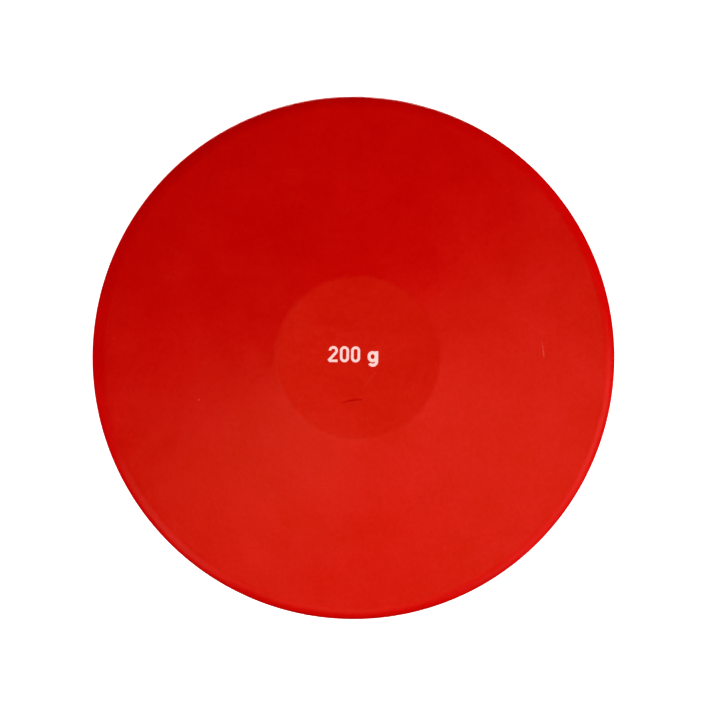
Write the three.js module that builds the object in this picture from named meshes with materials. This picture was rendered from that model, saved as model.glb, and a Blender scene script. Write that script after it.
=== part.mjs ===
// A soft training discus for children: a hollow moulded skin, filled with light foam through a
// neck in its back face, and closed with a barbed plug.
// Lengths are in millimetres. The origin is the middle of the discus, +Z is its spin axis, and
// the front face, which carries the printed weight, looks along +Z.

import * as THREE from 'three';

// Outer form of the skin
const diameter = 155;
const centreThickness = 30;
const flatDiameter = 48;
const flatEdgeRadius = 7;
const rimRadius = 5;

// Wall of the skin, the same all over
const wall = 2.3;

// Filling neck, which stands inwards from the back flat
const boreDiameter = 9;
const neckLength = 6.5;
const neckFootRadius = 1;
const neckLipRadius = 0.6;
const padEdgeRadius = 0.9;
const seatMouthRadius = 0.4;

// Plug that closes the neck
const headDiameter = 14;
const headThickness = 1.6;
const headEdgeRadius = 0.4;
const headRecess = 0.3;
const barbOverhang = 1.1;
const barbBand = 0.8;
const barbLength = 5;
const barbTipRadius = 1;
const barbTipShare = 0.5;

// Room between the plug and the skin, and between the foam and what it surrounds
const plugClearance = 0.3;
const foamClearance = 0.3;

// How finely the round surfaces are faceted
const curveTolerance = 0.04;
const turnSteps = 72;

const halfThickness = centreThickness / 2;
const flatRadius = flatDiameter / 2;
const rimCentre = diameter / 2 - rimRadius;

// The cone of each face runs from the edge of the flat to the rim, and meets the round rim
// without a corner. This is how steeply it falls.
const coneReach = Math.hypot(rimCentre - flatRadius, halfThickness);
const coneAngle = Math.acos(rimRadius / coneReach) - Math.atan2(rimCentre - flatRadius, halfThickness);

// Heights on the axis, from the back face inwards
const backFace = -halfThickness;
const headFace = backFace + headRecess;
const headBack = headFace + headThickness;
const seatFloor = headBack + plugClearance;
const padTop = seatFloor + wall;
const neckEnd = seatFloor + neckLength;
const barbShoulder = neckEnd + plugClearance;
const barbTip = barbShoulder + barbLength;

// Radii about the axis
const headRadius = headDiameter / 2;
const seatRadius = headRadius + plugClearance;
const padRadius = seatRadius + wall;
const boreRadius = boreDiameter / 2;
const neckRadius = boreRadius + wall;
const stemRadius = boreRadius - plugClearance;
const barbRadius = boreRadius + barbOverhang;
const tipRadius = barbRadius * barbTipShare;

// A place on a profile: its distance from the axis, its height, and how far its corner is rounded.
function corner(distance, height, radius = 0) {
  return { place: new THREE.Vector2(distance, height), radius };
}

// An arc as points, with just enough of them to stay within the tolerance.
function arc(centre, radius, from, sweep) {
  const widestStep = 2 * Math.acos(1 - curveTolerance / Math.max(radius, curveTolerance));
  const steps = Math.ceil(Math.abs(sweep) / widestStep);
  const curve = new THREE.EllipseCurve(centre.x, centre.y, radius, radius, from, from + sweep, sweep < 0);
  return curve.getPoints(steps);
}

// The points of a profile through its corners, where each radius gives an arc that touches the
// two straight lines on either side.
function profile(corners) {
  return corners.flatMap(({ place, radius }, index) => {
    if (radius === 0) return [place];
    const before = corners[index - 1].place.clone().sub(place).normalize();
    const after = corners[index + 1].place.clone().sub(place).normalize();
    const halfAngle = before.angleTo(after) / 2;
    const start = place.clone().addScaledVector(before, radius / Math.tan(halfAngle));
    const middle = before.clone().add(after).normalize();
    const centre = place.clone().addScaledVector(middle, radius / Math.sin(halfAngle));
    const sweep = (Math.PI - 2 * halfAngle) * Math.sign(after.cross(before));
    return arc(centre, radius, start.sub(centre).angle(), sweep);
  });
}

// The form of the discus, moved inwards by the inset, from the edge of its back flat round the
// rim to the edge of its front flat. Each arc keeps its centre, so that the wall is even.
function discusOutline(inset) {
  const edgeRadius = Math.max(flatEdgeRadius - inset, 0);
  const edgeSetback = (inset + edgeRadius) * Math.tan(coneAngle / 2);
  const edgeCentre = new THREE.Vector2(flatRadius - edgeSetback, halfThickness - inset - edgeRadius);
  const coneNormal = Math.PI / 2 - coneAngle;
  const front = [
    ...arc(new THREE.Vector2(rimCentre, 0), rimRadius - inset, 0, coneNormal),
    ...arc(edgeCentre, edgeRadius, coneNormal, coneAngle),
  ];
  const back = front.slice(1).map(({ x, y }) => new THREE.Vector2(x, -y)).reverse();
  return [...back, ...front];
}

// The step from the back wall up to the side of the neck, moved into the hollow by the gap.
function neckFoot(gap, top) {
  const landWidth = padRadius - neckRadius;
  const edgeRadius = Math.min(padEdgeRadius, landWidth / 2);
  const footRadius = Math.min(neckFootRadius, landWidth / 2);
  return [
    corner(padRadius + gap, backFace + wall + gap),
    corner(padRadius + gap, padTop + gap, edgeRadius + gap),
    corner(neckRadius + gap, padTop + gap, Math.max(footRadius - gap, 0)),
    corner(neckRadius + gap, top),
  ];
}

// A closed profile turned about the spin axis.
function turned(points) {
  return new THREE.LatheGeometry(points, turnSteps).rotateX(Math.PI / 2);
}

// Soft PVC skin. Its inside is followed from the front to the back, up the neck and out through
// the bore and the plug's seat, and its outside from the back to the front.
function shellGeometry() {
  const neck = [
    ...neckFoot(0, neckEnd).slice(0, -1),
    corner(neckRadius, neckEnd, neckLipRadius),
    corner(boreRadius, neckEnd),
    corner(boreRadius, seatFloor),
    corner(seatRadius, seatFloor),
    corner(seatRadius, backFace, seatMouthRadius),
    corner(flatRadius, backFace),
  ];
  return turned([
    new THREE.Vector2(0, halfThickness - wall),
    ...discusOutline(wall).reverse(),
    ...profile(neck).slice(0, -1),
    ...discusOutline(0),
    new THREE.Vector2(0, halfThickness),
  ]);
}

// Stopper of the same PVC. Its head lies in the seat, just under the back face, and its barb has
// snapped out behind the end of the neck.
function plugGeometry() {
  return turned(profile([
    corner(0, headFace),
    corner(headRadius, headFace, headEdgeRadius),
    corner(headRadius, headBack),
    corner(stemRadius, headBack),
    corner(stemRadius, barbShoulder),
    corner(barbRadius, barbShoulder),
    corner(barbRadius, barbShoulder + barbBand),
    corner(tipRadius, barbTip, barbTipRadius),
    corner(0, barbTip),
  ]));
}

// Polyurethane foam, poured in through the neck, where it rose until it filled the hollow. Its
// socket follows the neck and the barb.
function foamGeometry() {
  const socketRadius = Math.max(neckRadius, barbRadius) + foamClearance;
  const socketTop = barbTip + foamClearance;
  const socket = [
    corner(0, socketTop),
    corner(tipRadius + foamClearance, socketTop),
    corner(socketRadius, barbShoulder + barbBand + foamClearance),
    ...neckFoot(foamClearance, neckEnd).reverse().slice(1),
  ];
  return turned([
    ...profile(socket),
    ...discusOutline(wall + foamClearance),
    new THREE.Vector2(0, halfThickness - wall - foamClearance),
  ]);
}

function piece(name, geometry, color, roughness) {
  const mesh = new THREE.Mesh(geometry, new THREE.MeshStandardMaterial({ color, roughness, metalness: 0 }));
  mesh.name = name;
  return mesh;
}

const discus = new THREE.Group();
discus.add(
  piece('shell', shellGeometry(), 0xcf1d0f, 0.42),
  piece('filler_plug', plugGeometry(), 0xb8180e, 0.5),
  piece('foam_core', foamGeometry(), 0xe4d9b8, 0.95),
);

export default discus;
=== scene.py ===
import math

import bmesh
import bpy
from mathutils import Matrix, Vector


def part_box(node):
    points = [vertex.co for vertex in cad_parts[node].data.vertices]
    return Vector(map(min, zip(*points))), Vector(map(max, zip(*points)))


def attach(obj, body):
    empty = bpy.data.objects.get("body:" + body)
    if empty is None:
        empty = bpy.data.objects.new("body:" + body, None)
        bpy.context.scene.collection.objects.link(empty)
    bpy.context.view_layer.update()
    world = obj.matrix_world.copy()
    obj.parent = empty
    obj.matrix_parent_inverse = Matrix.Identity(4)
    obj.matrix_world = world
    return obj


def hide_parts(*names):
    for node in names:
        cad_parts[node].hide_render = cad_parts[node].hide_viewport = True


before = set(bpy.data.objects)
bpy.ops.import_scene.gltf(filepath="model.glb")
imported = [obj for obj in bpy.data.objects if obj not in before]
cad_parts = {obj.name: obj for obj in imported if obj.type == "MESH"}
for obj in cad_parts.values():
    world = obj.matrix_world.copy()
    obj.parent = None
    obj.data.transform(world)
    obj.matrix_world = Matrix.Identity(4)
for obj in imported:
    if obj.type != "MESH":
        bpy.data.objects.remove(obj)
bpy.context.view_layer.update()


# The skin is one hollow moulding of soft PVC, spun hot in a closed mould until an even wall has set,
# with a filling neck that stands inwards from its back flat. The mould's halves met at the rim, where
# a fine flash line is left, and the front flat has taken a nick in use.
low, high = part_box("shell")
rim = high.x
half_thickness = high.z
flat = 0.024
rim_round = 0.005
flat_round = 0.007
wall = 0.0023
turn_facets = 256
rim_steps = 14
flat_steps = 5
small_steps = 4
snap = 0.00002
weld = 0.000002
skin_crease = math.radians(35)

cone_reach = math.hypot(rim - rim_round - flat, half_thickness)
cone_angle = math.acos(rim_round / cone_reach) - math.atan2(rim - rim_round - flat, half_thickness)
edge_shift = math.tan(cone_angle / 2)

plug_low, plug_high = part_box("filler_plug")
clearance = 0.0003
seat = plug_high.x + clearance
seat_depth = 0.0022
seat_mouth_round = 0.0004
bore = 0.0045
neck_length = 0.0065
neck_foot_round = 0.001
neck_lip_round = 0.0006
pad_edge_round = 0.0009
seat_floor = -half_thickness + seat_depth
neck_end = seat_floor + neck_length

flash_foot = 0.00028
flash_top = 0.00014
flash_height = 0.00006


def choose(kind, test):
    """Selects only those faces or edges of the piece being edited whose middle passes the test."""
    bpy.ops.mesh.select_mode(type="FACE" if kind == "faces" else "EDGE")
    bpy.ops.mesh.select_all(action="DESELECT")
    mesh = bpy.context.edit_object.data
    shape = bmesh.from_edit_mesh(mesh)
    for part in getattr(shape, kind):
        middle = sum((v.co for v in part.verts), Vector()) / len(part.verts)
        part.select_set(test(middle, part))
    shape.select_flush_mode()
    bmesh.update_edit_mesh(mesh)


def near(value, target):
    return abs(value - target) < snap


def choose_disc(height):
    """Selects the flat disc that closes the piece at one height."""
    choose("faces", lambda middle, face: near(middle.z, height) and near(middle.xy.length, 0))


def round_ring(radius, height, setback, steps):
    """Rounds the corner that runs round the piece at one radius and height."""
    choose("edges", lambda middle, edge: all(
        near(v.co.z, height) and near(v.co.xy.length, radius) for v in edge.verts))
    bpy.ops.mesh.bevel(offset=setback, segments=steps, profile=0.5, affect="EDGES", clamp_overlap=False)


def narrow(width, rise=0):
    """Insets the chosen disc by a width, and moves what is left of it along the axis."""
    bpy.ops.mesh.inset(thickness=width)
    bpy.ops.transform.translate(value=(0, 0, rise))


def pull(length):
    """Extrudes the chosen disc along the axis."""
    bpy.ops.mesh.extrude_region_move(TRANSFORM_OT_translate={"value": (0, 0, length)})


def edited(name):
    """Names the primitive that was just added, and opens it for editing."""
    piece = bpy.context.object
    piece.name = piece.data.name = name
    bpy.ops.object.mode_set(mode="EDIT")
    return piece


def finish_with(piece, kind, **settings):
    """Puts one modifier on the piece and applies it."""
    modifier = piece.modifiers.new(kind.lower(), kind)
    for name, value in settings.items():
        setattr(modifier, name, value)
    bpy.ops.object.modifier_apply(modifier=modifier.name)


def smooth(piece, crease):
    """Shades the piece smooth, with its corners sharp and its large flat faces truly flat."""
    bpy.ops.object.shade_smooth_by_angle(angle=crease)
    finish_with(piece, "WEIGHTED_NORMAL", keep_sharp=True)


def discus_form(name, inset, facets):
    """Models the form of the discus, moved inwards by the inset, and returns it with its flat's radius."""
    outer, face = rim - inset, half_thickness - inset
    inner = flat - inset * edge_shift
    edge = face - (outer - inner) * math.tan(cone_angle)
    setback = (flat_round - inset) * edge_shift
    bpy.ops.object.select_all(action="DESELECT")
    bpy.ops.mesh.primitive_cylinder_add(vertices=facets, radius=outer, depth=2 * edge)
    piece = edited(name)
    for side in (1, -1):
        choose_disc(side * edge)
        narrow(outer - inner, side * (face - edge))
    for side in (1, -1):
        round_ring(outer, side * edge, edge, rim_steps)
        round_ring(inner, side * face, setback, flat_steps)
    bpy.ops.mesh.select_all(action="SELECT")
    bpy.ops.mesh.remove_doubles(threshold=weld)
    return piece, inner - setback


shell, flat_edge = discus_form("soft_shell", 0, turn_facets)
choose_disc(-half_thickness)
narrow(flat_edge - seat)
pull(seat_depth)
narrow(seat - bore)
pull(neck_length)
bpy.ops.mesh.delete(type="ONLY_FACE")
bpy.ops.object.mode_set(mode="OBJECT")
finish_with(shell, "SOLIDIFY", thickness=wall, offset=-1, use_even_offset=True)

bpy.ops.object.mode_set(mode="EDIT")
round_ring(seat, -half_thickness, seat_mouth_round, small_steps)
round_ring(seat + wall, seat_floor + wall, pad_edge_round, small_steps)
round_ring(bore + wall, seat_floor + wall, neck_foot_round, small_steps)
round_ring(bore + wall, neck_end, neck_lip_round, small_steps)
for level in (flash_foot, flash_top, -flash_top, -flash_foot):
    bpy.ops.mesh.select_all(action="SELECT")
    bpy.ops.mesh.bisect(plane_co=(0, 0, level), plane_no=(0, 0, 1))
choose("edges", lambda middle, edge: all(
    near(abs(v.co.z), flash_foot) and v.co.xy.length > rim - wall / 2 for v in edge.verts))
flash_ratio = 1 - flash_height / rim
bpy.ops.transform.resize(value=(flash_ratio, flash_ratio, 1), center_override=(0, 0, 0))
bpy.ops.object.mode_set(mode="OBJECT")

nick_centre = Vector((0.0010, -0.0289, half_thickness))
nick_radius = 0.0168
nick_from = math.radians(110)
nick_turn = math.radians(-22)
nick_width = 0.00055
nick_depth = 0.00012
nick_steps = 14
nick_facets = 8
nick_taper = 0.6
lip_width = 0.0005
lip_height = 0.00006


def tapered_arc(name, radius, width, height):
    """Makes a flat bead along the nick's arc, which swells from a point to its width and tapers off."""
    bpy.ops.object.select_all(action="DESELECT")
    step_turn = nick_turn / nick_steps
    swell = [math.sin(math.pi * (step + 0.5) / (nick_steps + 1)) ** nick_taper
             for step in range(nick_steps + 1)]
    place = [nick_centre + radius * Vector((math.cos(turn), math.sin(turn), 0))
             for turn in (nick_from + step * step_turn for step in range(nick_steps + 1))]
    bpy.ops.mesh.primitive_circle_add(vertices=nick_facets, radius=width / 2 * swell[0],
                                      fill_type="NGON", location=place[0],
                                      rotation=(math.pi / 2, 0, nick_from))
    piece = edited(name)
    for step in range(1, nick_steps + 1):
        ratio = swell[step] / swell[step - 1]
        bpy.ops.mesh.extrude_region_move()
        bpy.ops.transform.rotate(value=-step_turn, orient_axis="Z", center_override=nick_centre)
        bpy.ops.transform.resize(value=(ratio, ratio, ratio), center_override=place[step])
    bpy.ops.mesh.select_all(action="SELECT")
    bpy.ops.transform.resize(value=(1, 1, 2 * height / width), center_override=nick_centre)
    bpy.ops.mesh.normals_make_consistent(inside=False)
    bpy.ops.object.mode_set(mode="OBJECT")
    return piece


def carve(piece, tool, operation):
    """Cuts the tool out of the piece, or joins it on, and clears the tool away."""
    bpy.ops.object.select_all(action="DESELECT")
    piece.select_set(True)
    bpy.context.view_layer.objects.active = piece
    finish_with(piece, "BOOLEAN", operation=operation, object=tool, solver="EXACT")
    bpy.data.objects.remove(tool)


lip_radius = nick_radius - (nick_width + lip_width) / 2
carve(shell, tapered_arc("lip", lip_radius, lip_width, lip_height), "UNION")
carve(shell, tapered_arc("cut", nick_radius, nick_width, nick_depth), "DIFFERENCE")
smooth(shell, skin_crease)

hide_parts("shell")
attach(shell, "root")


class Value:
    """A number or a vector that varies over a surface. A sum on it adds the nodes that work it out."""

    def __init__(self, tree, socket):
        self.tree = tree
        self.socket = socket

    def node(self, kind, settings, inputs, output=0):
        """Adds a node: its settings first, then the value or the link of each socket."""
        node = self.tree.nodes.new("ShaderNode" + kind)
        for name, setting in settings.items():
            setattr(node, name, setting)
        feed(self.tree, node, inputs)
        return Value(self.tree, node.outputs[output])

    def math(self, operation, first, second=0, **settings):
        return self.node("Math", {"operation": operation, **settings}, {0: first, 1: second})

    def __add__(self, other):
        return self.math("ADD", self, other)

    def __sub__(self, other):
        return self.math("SUBTRACT", self, other)

    def __rsub__(self, other):
        return self.math("SUBTRACT", other, self)

    def __mul__(self, other):
        return self.math("MULTIPLY", self, other)

    def __truediv__(self, other):
        return self.math("DIVIDE", self, other)

    def __abs__(self):
        return self.math("ABSOLUTE", self)

    __radd__ = __add__
    __rmul__ = __mul__

    def clamped(self):
        return self.math("ADD", self, 0, use_clamp=True)

    def swing(self):
        """How far a value that runs from 0 to 1 lies above or below its middle."""
        return self - 0.5

    def part(self, axis):
        return self.node("SeparateXYZ", {}, {"Vector": self}, axis)

    def noise(self, size, detail=2, roughness=0.5, stretch=(1, 1, 1), turn=0, seed=0):
        """Soft mottling with patches of about one size, stretched and turned, from 0 to 1."""
        place = self.node("Mapping", {}, {
            "Vector": self, "Rotation": (0, 0, turn),
            "Scale": tuple(share / size for share in stretch)})
        return self.node("TexNoise", {"noise_dimensions": "4D"}, {
            "Vector": place, "W": seed, "Scale": 1, "Detail": detail, "Roughness": roughness})

    def between(self, low_end, high_end):
        """Rises softly from 0 at one end to 1 at the other."""
        return self.node("MapRange", {"interpolation_type": "SMOOTHSTEP"}, {
            "Value": self, "From Min": low_end, "From Max": high_end})

    def blend(self, plain, other, way="MIX"):
        """The first colour, with as much of the second mixed in or added as this value says."""
        return self.node("Mix", {"data_type": "RGBA", "blend_type": way}, {
            "Factor": self, 6: plain, 7: other}, 2)


def feed(tree, node, inputs):
    """Gives each named socket of a node its value or its link."""
    for key, value in inputs.items():
        if isinstance(value, Value):
            tree.links.new(value.socket, node.inputs[key])
        else:
            node.inputs[key].default_value = value


def new_finish(name):
    """Starts a material: returns it, the socket of its places, and the shader that it feeds."""
    finish = bpy.data.materials.new(name)
    finish.use_nodes = True
    coordinates = finish.node_tree.nodes.new("ShaderNodeTexCoord")
    place = Value(finish.node_tree, coordinates.outputs["Object"])
    return finish, place, finish.node_tree.nodes["Principled BSDF"]


def raised(place, height, depth, normal=None):
    """A normal for a surface whose height, from 0 to 1, stands for a real depth."""
    inputs = {"Height": height, "Distance": depth, "Strength": 1}
    if normal:
        inputs["Normal"] = normal
    return place.node("Bump", {}, inputs)


def from_line(place, start, end):
    """The distance from a straight line across the face, seen along the spin axis."""
    across = place.node("VectorMath", {"operation": "MULTIPLY"}, {0: place, 1: (1, 1, 0)})
    start, way = Vector((*start, 0)), Vector((*end, 0)) - Vector((*start, 0))
    offset = across.node("VectorMath", {"operation": "SUBTRACT"}, {0: across, 1: start})
    along = offset.node("VectorMath", {"operation": "DOT_PRODUCT"}, {0: offset, 1: way}, "Value")
    along = (along / way.length_squared).clamped()
    foot = along.node("VectorMath", {"operation": "SCALE"}, {0: way, "Scale": along})
    return foot.node("VectorMath", {"operation": "DISTANCE"}, {0: offset, 1: foot}, "Value")


def drawn(place, lines):
    """Sums soft lines: each has a start, an end, the reach of its core and its edge, and a strength."""
    total = place.part("X") * 0
    for start, end, core, edge, strength in lines:
        total = total + (1 - from_line(place, start, end).between(core, edge)) * strength
    return total


deep_red = (0.437, 0, 0, 1)
bright_red = (0.495, 0.0006, 0.0002, 1)
scuffed_red = (0.62, 0.045, 0.028, 1)
scratch_pink = (0.80, 0.22, 0.17, 1)
# A dark red for small dents that are drawn only in colour: painted shade.
dent_shade_red = (0.26, 0, 0, 1)
# A faint orange tint for the front flat: painted sheen, in place of part of the sheen that the flat's
# thinner coat loses.
flat_sheen_tint = (0, 0.0010, 0, 1)
# A darker red for the inside of the nick: painted shade, where less light falls into the cut.
nick_shade_red = (0.42, 0, 0, 1)

face_fade = 0.002
flat_fade = 0.001
rim_fade = rim_round / 4
nick_floor = 0.00005
nick_edge = 0.00001
cloud_size = 0.014
patch_size = 0.035
grain_size = 0.0011
peel_size = 0.0024
brush_size = 0.0005
brush_stretch = (0.05, 1, 1)
hair_size = 0.006
hair_stretch = (0.03, 1, 1)
hair_turn = math.radians(63)
hair_core = 0.0006
hair_edge = 0.0030
hair_clouds = (0.5, 0.62)
scuff_size = 0.0016
scuff_share = (0.55, 0.75)

cloud_tone = 1.3
patch_tone = 0.6
peel_tone = 0.6
grain_tone = 0.92
brush_tone = 0.25
scuff_tone = 0.03
hair_tone = 0.12

gloss = 0.17
gloss_tint = (1, 0.39, 0.105, 1)
skin_roughness = 0.38
cloud_roughness = 0.3
grain_roughness = 0.2
scuff_roughness = 0.2
nick_roughness = 0.5
sheen_roughness = 0.36
skin_sheen = 0.030
cloud_sheen = 0.14
grain_sheen = 0.17
brush_sheen = 0.08
flat_dulling = 0.020
nick_dulling = 0.1
brush_depth = 0.000003
grain_depth = 0.000035
peel_depth = 0.00004
cloud_relief = 8

scratch_lines = (
    ((0.00132, -0.00915), (0.00528, -0.00431), 0.00005, 0.0005, 0.015),
    ((0.0548, 0.0048), (0.0550, 0.0033), 0.00005, 0.00030, 0.06),
    ((0.0550, 0.0033), (0.0552, 0.0019), 0.00005, 0.00030, 0.08),
    ((0.0552, 0.0019), (0.0554, 0.0003), 0.00008, 0.00032, 0.13),
    ((-0.0462, -0.0123), (-0.0461, -0.0123), 0.0001, 0.0004, 0.16),
)
# Small dents on the face, drawn only as darker red spots: painted shade, as the dents are not in the form.
dent_shade_lines = (
    ((-0.0036, -0.0140), (-0.0034, -0.0140), 0.0001, 0.0004, 0.10),
    ((-0.0020, -0.0138), (-0.0010, -0.0137), 0.0001, 0.0005, 0.14),
    ((-0.0128, -0.0061), (-0.0124, -0.0064), 0.0001, 0.0005, 0.13),
)

red, place, shader = new_finish("soft_red_pvc")
height = place.part("Z")
front = height.between(0, face_fade)
distance = place.node("VectorMath", {"operation": "MULTIPLY"}, {0: place, 1: (1, 1, 0)})
distance = distance.node("VectorMath", {"operation": "LENGTH"}, {0: distance}, "Value")
on_flat = 1 - distance.between(flat - flat_fade, flat)
on_rim = distance.between(rim - rim_round, rim - rim_fade)
above_cut = height.between(half_thickness - nick_floor, half_thickness - nick_edge)
in_nick = on_flat * front * (1 - above_cut)

clouds = place.noise(cloud_size, detail=4, roughness=0.6, seed=2)
patches = place.noise(patch_size, detail=2, seed=5)
grain = place.noise(grain_size, detail=3, roughness=0.6)
peel = place.noise(peel_size, detail=2, seed=9)
brushing = place.noise(brush_size, detail=2, stretch=brush_stretch, seed=4)
hairs = abs(place.noise(hair_size, detail=1, stretch=hair_stretch, turn=hair_turn, seed=7).swing())
hairs = (1 - hairs.between(hair_core, hair_edge)) * clouds.between(*hair_clouds)
scuffs = place.noise(scuff_size, detail=5, roughness=0.75, seed=11).between(*scuff_share) * on_rim

red_tone = clouds.swing() * cloud_tone + patches.swing() * patch_tone
red_tone = red_tone + peel.swing() * peel_tone + grain.swing() * grain_tone + 0.5
red_tone = red_tone + brushing.swing() * on_flat * brush_tone
skin_colour = red_tone.clamped().blend(deep_red, bright_red)
# Painted sheen: the front flat gets a faint orange tint where its coat is made thinner.
skin_colour = on_flat.blend(skin_colour, flat_sheen_tint, "ADD")
# Painted shade: the inside of the nick is darkened towards a deeper red.
skin_colour = in_nick.blend(skin_colour, nick_shade_red)
skin_colour = (scuffs * scuff_tone + hairs * hair_tone).clamped().blend(skin_colour, scuffed_red)
scratches = drawn(place, scratch_lines)
dent_shade = drawn(place, dent_shade_lines)
skin_colour = (scratches * front).clamped().blend(skin_colour, scratch_pink)
# Painted shade of the small dents.
skin_colour = (dent_shade * front).clamped().blend(skin_colour, dent_shade_red)

roughness = clouds.swing() * cloud_roughness + grain.swing() * grain_roughness
roughness = roughness + scuffs * scuff_roughness + in_nick * nick_roughness + skin_roughness
sheen = clouds.swing() * cloud_sheen + grain.swing() * grain_sheen
sheen = sheen + brushing.swing() * on_flat * brush_sheen
sheen = sheen - on_flat * flat_dulling - in_nick * nick_dulling + skin_sheen
relief = raised(place, peel + clouds * cloud_relief, peel_depth)
relief = raised(place, grain, grain_depth, relief)
relief = raised(place, brushing * on_flat, brush_depth, relief)

shader.inputs["Specular IOR Level"].default_value = gloss
shader.inputs["Specular Tint"].default_value = gloss_tint
shader.inputs["Coat Roughness"].default_value = sheen_roughness
feed(red.node_tree, shader, {
    "Base Color": skin_colour,
    "Roughness": roughness,
    "Coat Weight": sheen,
    "Normal": relief,
})
shell.data.materials.append(red)


# The core is polyurethane foam. It is poured in through the neck as a liquid, rises until it
# fills the skin, and sets with its surface stuck to the wall, the neck and the plug's barb.
foam_facets = 128
foam_crease = math.radians(40)
barb_band = 0.0008
barb_overhang = 0.0011
barb_tip = plug_high.z
barb_radius = bore + barb_overhang
tip_radius = barb_radius / 2
barb_shoulder = neck_end + clearance

foam_wall = wall + clearance
socket = bore + wall + clearance
socket_foot = seat_floor + wall + clearance
socket_neck = barb_shoulder + barb_band + clearance
socket_end = barb_tip + clearance
tip_clear = tip_radius + clearance
foam, foam_flat = discus_form("poured_foam", foam_wall, foam_facets)
choose_disc(foam_wall - half_thickness)
narrow(foam_flat - (seat + foam_wall))
pull(socket_foot - (foam_wall - half_thickness))
narrow(seat + foam_wall - socket)
pull(socket_neck - socket_foot)
narrow(socket - tip_clear, socket_end - socket_neck)
round_ring(seat + foam_wall, socket_foot, pad_edge_round + clearance, small_steps)
round_ring(socket, socket_foot, neck_foot_round - clearance, small_steps)
bpy.ops.object.mode_set(mode="OBJECT")
smooth(foam, foam_crease)

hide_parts("foam_core")
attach(foam, "root")

foam_cream = (0.78, 0.69, 0.47, 1)
foam_amber = (0.60, 0.44, 0.20, 1)
cell_shadow = (0.36, 0.26, 0.12, 1)
cells_a_metre = 1400
bubbles_a_metre = 190
cell_wall = (0.02, 0.12)
cell_shade = 0.3
cell_depth = 0.00012
bubble_wall = (0.05, 0.3)
bubble_hollow = (0.1, 0.25)
bubble_shade = 0.5
bubble_depth = 0.0004
ageing_size = 0.02
unaged = 0.2
foam_gloss = 0.25
foam_roughness = 0.85
aged_roughness = 0.12

cream, place, shader = new_finish("cream_foam")
cells = place.node("TexVoronoi", {"feature": "DISTANCE_TO_EDGE"}, {
    "Vector": place, "Scale": cells_a_metre}, "Distance")
bubbles = place.node("TexVoronoi", {}, {"Vector": place, "Scale": bubbles_a_metre}, "Distance")
ageing = place.noise(ageing_size, detail=3, seed=3)
walls = cells.between(*cell_wall)
hollows = 1 - bubbles.between(*bubble_hollow)
foam_colour = (ageing - unaged).clamped().blend(foam_cream, foam_amber)
shade = (1 - walls) * cell_shade + hollows * bubble_shade
relief = raised(place, bubbles.between(*bubble_wall), bubble_depth)
shader.inputs["Specular IOR Level"].default_value = foam_gloss
feed(cream.node_tree, shader, {
    "Base Color": shade.clamped().blend(foam_colour, cell_shadow),
    "Roughness": foam_roughness + ageing * aged_roughness,
    "Normal": raised(place, walls, cell_depth, relief),
})
foam.data.materials.append(cream)


# The plug is a small solid stopper of the same PVC, moulded by itself. It is pressed into the
# neck with a film of glue: its head lies in the seat, just under the back face, and its barb
# has snapped out behind the end of the neck. A dimple shows where its mould was filled.
head_thickness = 0.0016
head_round = 0.0004
stem = bore - clearance
tip_round = 0.001
gate = 0.0017
gate_depth = 0.00025
gate_stub = 0.0005
stub_height = 0.00015
plug_facets = 96
plug_crease = math.radians(40)

bpy.ops.object.select_all(action="DESELECT")
bpy.ops.mesh.primitive_cylinder_add(vertices=plug_facets, radius=plug_high.x, depth=head_thickness,
                                    location=(0, 0, plug_low.z + head_thickness / 2))
plug = edited("filler_stopper")
bpy.ops.object.mode_set(mode="OBJECT")
bpy.ops.object.transform_apply(location=True)
bpy.ops.object.mode_set(mode="EDIT")
choose_disc(plug_low.z + head_thickness)
narrow(plug_high.x - stem)
pull(barb_shoulder - plug_low.z - head_thickness)
pull(0)
barb_ratio = barb_radius / stem
bpy.ops.transform.resize(value=(barb_ratio, barb_ratio, 1), center_override=(0, 0, barb_shoulder))
pull(barb_band)
narrow(barb_radius - tip_radius, barb_tip - barb_shoulder - barb_band)
tip_slope = math.atan2(barb_tip - barb_shoulder - barb_band, barb_radius - tip_radius)
round_ring(tip_radius, barb_tip, tip_round * math.tan(tip_slope / 2), small_steps)
choose_disc(plug_low.z)
narrow(plug_high.x - gate)
narrow(gate_depth, gate_depth)
narrow(gate - gate_depth - gate_stub)
pull(-stub_height)
round_ring(plug_high.x, plug_low.z, head_round, small_steps)
round_ring(gate, plug_low.z, gate_depth / 2, small_steps)
bpy.ops.object.mode_set(mode="OBJECT")
smooth(plug, plug_crease)

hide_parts("filler_plug")
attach(plug, "root")

plug_deep = (0.36, 0.0030, 0.0012, 1)
plug_bright = (0.43, 0.0060, 0.0030, 1)
flow_size = 0.004
flow_tone = 1.6
flow_depth = 0.00003
matt_size = 0.0004
matt_roughness = 0.12
matt_depth = 0.000008
plug_gloss = 0.2
plug_roughness = 0.46

plug_red, place, shader = new_finish("plug_red_pvc")
flow = place.noise(flow_size, detail=4, roughness=0.6, seed=21)
matt = place.noise(matt_size, detail=3, seed=22)
shader.inputs["Specular IOR Level"].default_value = plug_gloss
feed(plug_red.node_tree, shader, {
    "Base Color": (flow.swing() * flow_tone + 0.5).clamped().blend(plug_deep, plug_bright),
    "Roughness": plug_roughness + matt * matt_roughness,
    "Normal": raised(place, matt, matt_depth, raised(place, flow, flow_depth)),
})
plug.data.materials.append(plug_red)


# The weight mark is pad-printed on the front flat in white ink. The film is thinner than a hair,
# so the red shows through it a little, most where hands have rubbed it. Its plain figures are
# drawn as with a broad pen, which runs straight or turns as it goes.
mark_middle = Vector((-0.0012, 0.0010, half_thickness))
mark_tilt = math.radians(-0.8)
film = 0.00003
figure_pen = 0.00075
letter_pen = 0.00088
bend_step = math.radians(12)
ring_facets = 50
figure_height = 0.00468
figure_width = 0.00265
figure_pitch = 0.00326
foot_width = 0.00250
two_turn = math.radians(222)
word_gap = 0.0022
letter_height = 0.00335
letter_width = 0.0031
bowl_width = 0.0029
bowl_height = 0.0032
tail_depth = 0.0012
tail_turn = math.radians(148)


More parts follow.
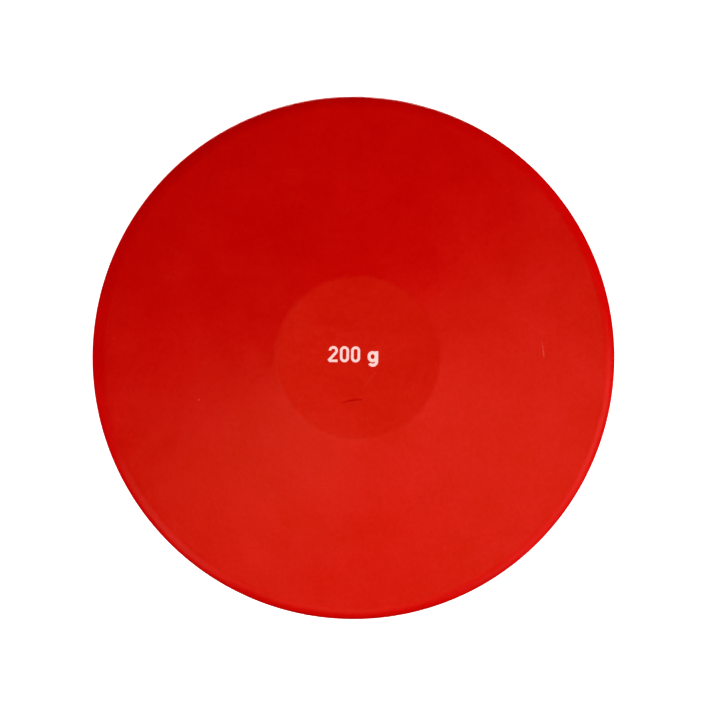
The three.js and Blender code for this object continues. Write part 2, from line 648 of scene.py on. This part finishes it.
def ring(middle, width, height, pen_width):
    """Draws a round closed shape: a disc, drawn out to its height, with its inside cut away."""
    bpy.ops.object.select_all(action="DESELECT")
    bpy.ops.mesh.primitive_circle_add(vertices=ring_facets, radius=width / 2, fill_type="NGON",
                                      location=middle - Vector((0, 0, film)))
    shape = edited("ring")
    for side in (1, -1):
        choose("edges", lambda middle, edge: side * middle.y > width / ring_facets)
        bpy.ops.transform.translate(value=(0, side * (height - width) / 2, 0))
    choose_disc(0)
    narrow(pen_width)
    bpy.ops.mesh.delete(type="FACE")
    bpy.ops.mesh.select_all(action="SELECT")
    pull(2 * film)
    return closed(shape)


def pen(start, heading, pen_width, moves):
    """Draws one stroke from a place, by moves that each have a length and a turn to take on the way."""
    bpy.ops.object.select_all(action="DESELECT")
    bpy.ops.mesh.primitive_plane_add(size=pen_width, location=start,
                                     rotation=(math.pi / 2, 0, heading + math.pi / 2))
    stroke = edited("stroke")
    place = start.copy()
    for length, turn in moves:
        steps = max(1, round(abs(turn) / bend_step))
        for step in range(steps):
            middle_way = heading + turn / steps / 2
            way = Vector((math.cos(middle_way), math.sin(middle_way), 0)) * length / steps
            heading += turn / steps
            place += way
            bpy.ops.mesh.extrude_region_move(TRANSFORM_OT_translate={"value": way})
            bpy.ops.transform.rotate(value=-turn / steps, orient_axis="Z", center_override=place)
    bpy.ops.mesh.select_all(action="SELECT")
    bpy.ops.transform.resize(value=(1, 1, 2 * film / pen_width), center_override=start)
    return closed(stroke)


def closed(piece):
    """Turns the faces of a closed shape outwards, and leaves it."""
    bpy.ops.mesh.select_all(action="SELECT")
    bpy.ops.mesh.normals_make_consistent(inside=False)
    bpy.ops.object.mode_set(mode="OBJECT")
    return piece


first = mark_middle - Vector(((2 * figure_pitch + word_gap + letter_width) / 2, 0, 0))
bend = (figure_width - figure_pen) / 2
foot = (figure_pen - figure_height) / 2
bowl = first + Vector((0, -foot - bend, 0))
leaving = math.pi / 2 - two_turn
slope_from = bowl + bend * Vector((-math.sin(leaving), math.cos(leaving), 0))
slope_length = (slope_from.y - first.y - foot) / -math.sin(leaving)
base = first + Vector((-foot_width / 2, foot, 0))
letter_reach = 2 * figure_pitch + (figure_width + letter_width) / 2 + word_gap
letter = first + Vector((letter_reach, -figure_height / 2, 0))
tail = (letter_width - letter_pen) / 2
letter_stem = letter_height - (tail - tail_depth + letter_pen / 2)

mark = pen(bowl - Vector((bend, 0, 0)), math.pi / 2, figure_pen,
           [(bend * two_turn, -two_turn), (slope_length, 0)])
mark.name = mark.data.name = "weight_mark"
for shape in (
    pen(base, 0, figure_pen, [(foot_width, 0)]),
    ring(first + Vector((figure_pitch, 0, 0)), figure_width, figure_height, figure_pen),
    ring(first + Vector((2 * figure_pitch, 0, 0)), figure_width, figure_height, figure_pen),
    ring(letter + Vector(((bowl_width - letter_width) / 2, letter_height - bowl_height / 2, 0)),
         bowl_width, bowl_height, letter_pen),
    pen(letter + Vector((tail, letter_height, 0)), -math.pi / 2, letter_pen,
        [(letter_stem, 0), (tail * tail_turn, -tail_turn)]),
):
    carve(mark, shape, "UNION")
bpy.ops.object.transform_apply(location=True, rotation=True)
bpy.ops.object.mode_set(mode="EDIT")
bpy.ops.mesh.select_all(action="SELECT")
bpy.ops.mesh.remove_doubles(threshold=weld)
bpy.ops.transform.rotate(value=-mark_tilt, orient_axis="Z", center_override=mark_middle)
bpy.ops.object.mode_set(mode="OBJECT")
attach(mark, "root")

ink_white = (0.84, 0.51, 0.48, 1)
ink_thin = (0.74, 0.32, 0.29, 1)
rub_size = 0.0012
rub_share = (0.52, 0.8)
rub_roughness = 0.15
ink_gloss = 0.3
ink_roughness = 0.5
ink_grain = 0.0006
ink_depth = 0.000008

ink, place, shader = new_finish("white_ink")
rubbed = place.noise(rub_size, detail=4, roughness=0.7, seed=31).between(*rub_share)
shader.inputs["Specular IOR Level"].default_value = ink_gloss
feed(ink.node_tree, shader, {
    "Base Color": rubbed.blend(ink_white, ink_thin),
    "Roughness": ink_roughness + rubbed * rub_roughness,
    "Normal": raised(place, place.noise(ink_grain, detail=2, seed=32), ink_depth),
})
mark.data.materials.append(ink)


# The discus lies on its back flat on a plain pale floor, which shows no shadow beside it and can
# be looked through from below. Soft lamps stand round it. Those that add no gloss stand for the
# light that a pale floor throws back, and one below shows the back.
floor_gap = 0.00005
floor_radius = 4
floor_facets = 96
floor_glow = 1.0
floor_roughness = 0.9
floor_grey = (0.85, 0.85, 0.85, 1)
white = (1, 1, 1, 1)

bpy.ops.object.select_all(action="DESELECT")
bpy.ops.mesh.primitive_circle_add(vertices=floor_facets, radius=floor_radius, fill_type="NGON",
                                  location=(0, 0, low.z - floor_gap))
floor = bpy.context.object
floor.name = "floor"
floor.visible_glossy = False
floor.visible_diffuse = False
floor.visible_shadow = False

pale, place, shader = new_finish("pale_floor")
under = place.node("NewGeometry", {}, {}, "Backfacing")
clear = place.node("BsdfTransparent", {}, {})
output = pale.node_tree.nodes["Material Output"]
shader.inputs["Roughness"].default_value = floor_roughness
shader.inputs["Specular IOR Level"].default_value = 0
shader.inputs["Emission Strength"].default_value = floor_glow
shader.inputs["Base Color"].default_value = floor_grey
shader.inputs["Emission Color"].default_value = white
top = Value(pale.node_tree, shader.outputs["BSDF"])
paint = under.node("MixShader", {}, {"Fac": under, 1: top, 2: clear})
feed(pale.node_tree, output, {"Surface": paint})
floor.data.materials.append(pale)

world = bpy.data.worlds.new("studio")
bpy.context.scene.world = world
world.use_nodes = True
world.cycles_visibility.glossy = False
backdrop = world.node_tree.nodes["Background"]
path = world.node_tree.nodes.new("ShaderNodeLightPath")
sight = Value(world.node_tree, path.outputs["Is Camera Ray"])
feed(world.node_tree, backdrop, {"Color": white, "Strength": sight})

lamp_share = 0.58
far = 0.6
close = 0.28


def softbox(name, azimuth, polar, distance, power):
    """A soft lamp that looks at the discus from a direction off the spin axis."""
    turn, tilt = math.radians(azimuth), math.radians(polar)
    way = Vector((math.sin(tilt) * math.cos(turn), math.sin(tilt) * math.sin(turn), math.cos(tilt)))
    lamp = bpy.data.lights.new(name, "AREA")
    lamp.shape = "SQUARE"
    lamp.size = distance * lamp_share
    lamp.energy = power
    lamp_object = bpy.data.objects.new(name, lamp)
    bpy.context.collection.objects.link(lamp_object)
    lamp_object.location = way * distance
    lamp_object.rotation_euler = way.to_track_quat("Z", "Y").to_euler()
    lamp_object.visible_camera = False
    return lamp_object


lamps = (
    ("key", 315, 35, far, 1.08),
    ("near_left", 240, 20, close, 0.365),
    ("near_right", 0, 35, close, 0.171),
    ("side_left", 225, 60, far, 0.712),
    ("side_front", 270, 60, far, 0.871),
    ("side_right", 345, 60, far, 0.37),
    ("edge_left", 225, 80, far, 0.677),
    ("edge_front", 315, 70, far, 0.31),
    ("edge_right", 345, 80, far, 0.895),
    ("edge_low", 315, 90, far, 0.299),
    ("under", 90, 150, close, 0.50),
)
bounces = (
    (90, 80, 2.664),
    (0, 105, 2.93),
    (180, 105, 2.738),
)
for name, azimuth, polar, distance, power in lamps:
    softbox(name, azimuth, polar, distance, power)
for azimuth, polar, power in bounces:
    bounce = softbox(f"bounce_{azimuth}", azimuth, polar, far, power)
    bounce.visible_glossy = False
    bounce.data.cycles.use_multiple_importance_sampling = False

camera_distance = 1.0
camera_tilt = math.radians(-3.45)
view_width = 0.2134
aim = Vector((0.0016, -0.00065, 0))
camera_data = bpy.data.cameras.new("camera")
camera = bpy.data.objects.new("camera", camera_data)
bpy.context.collection.objects.link(camera)
bpy.context.scene.camera = camera
camera_data.lens = camera_data.sensor_width * camera_distance / view_width
camera.location = aim + camera_distance * Vector((math.sin(camera_tilt), 0, math.cos(camera_tilt)))
camera.rotation_euler = (0, camera_tilt, 0)
bpy.context.scene.view_settings.view_transform = "Standard"
